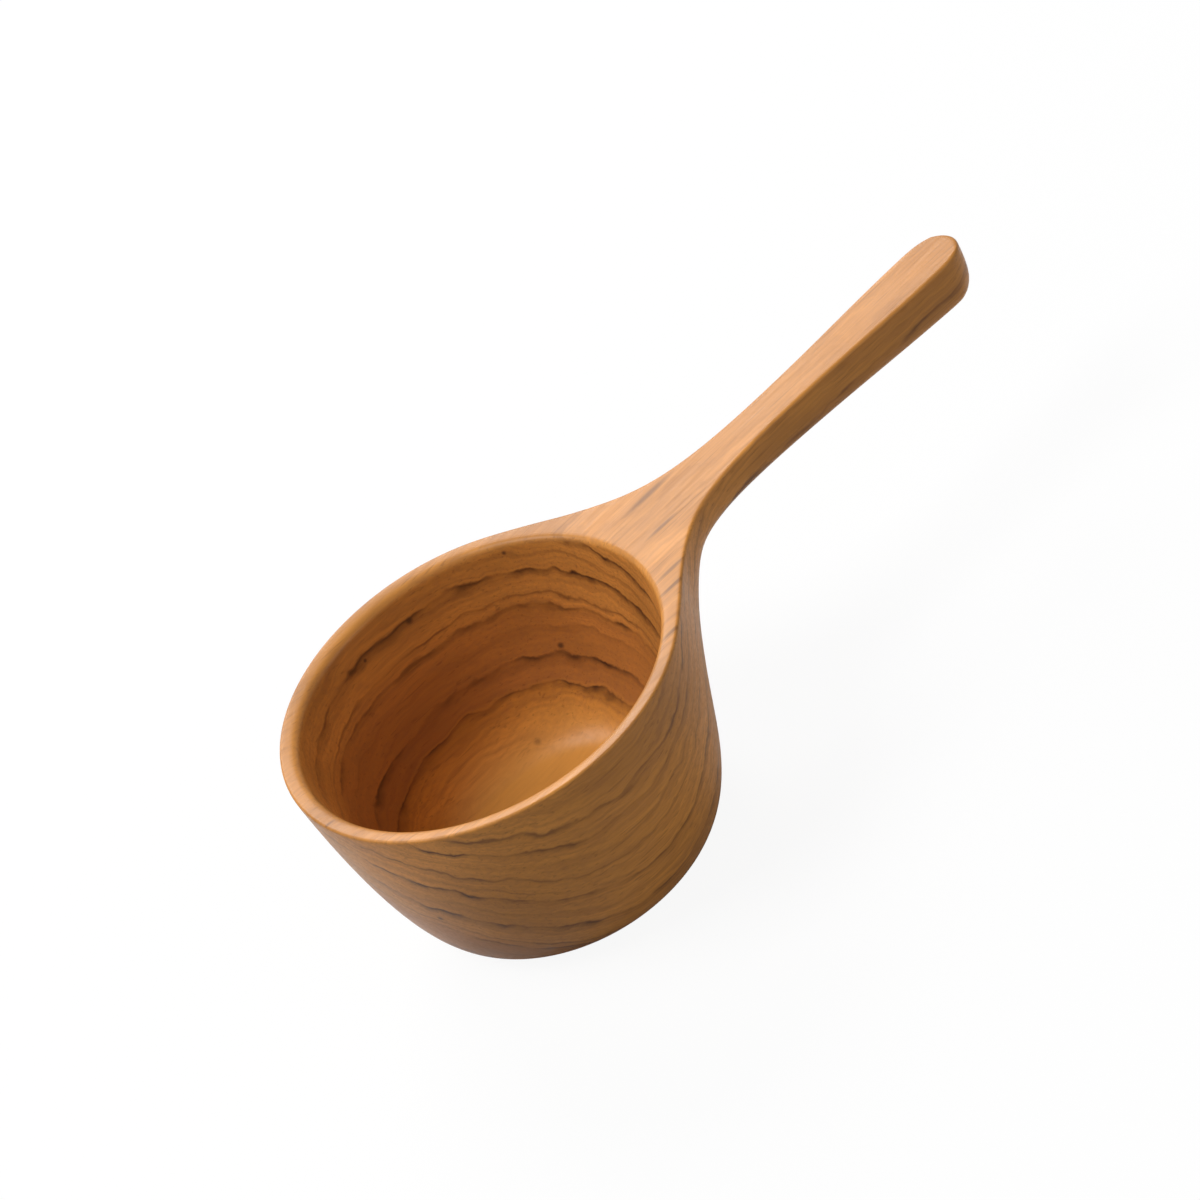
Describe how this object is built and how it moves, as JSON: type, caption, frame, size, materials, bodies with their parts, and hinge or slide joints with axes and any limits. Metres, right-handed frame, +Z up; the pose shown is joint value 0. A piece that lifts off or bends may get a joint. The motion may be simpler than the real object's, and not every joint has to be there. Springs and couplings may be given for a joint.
{
  "type": "coffee measuring spoon",
  "caption": "Small wooden coffee measure: a round tapered cup with a thin wall and a slim handle that flares out level with the rim.",
  "frame": {"origin": "centre of the cup's flat base, on the surface that the spoon stands on", "axes": "+Z up along the cup's axis, +X from the cup's axis along the handle to its tip"},
  "size_m": [0.105, 0.05, 0.029],
  "materials": {
    "teak": "fine-sanded and oiled, satin"
  },
  "bodies": {
    "root": {"cup": "teak", "handle": "teak"}
  },
  "joints": []
}
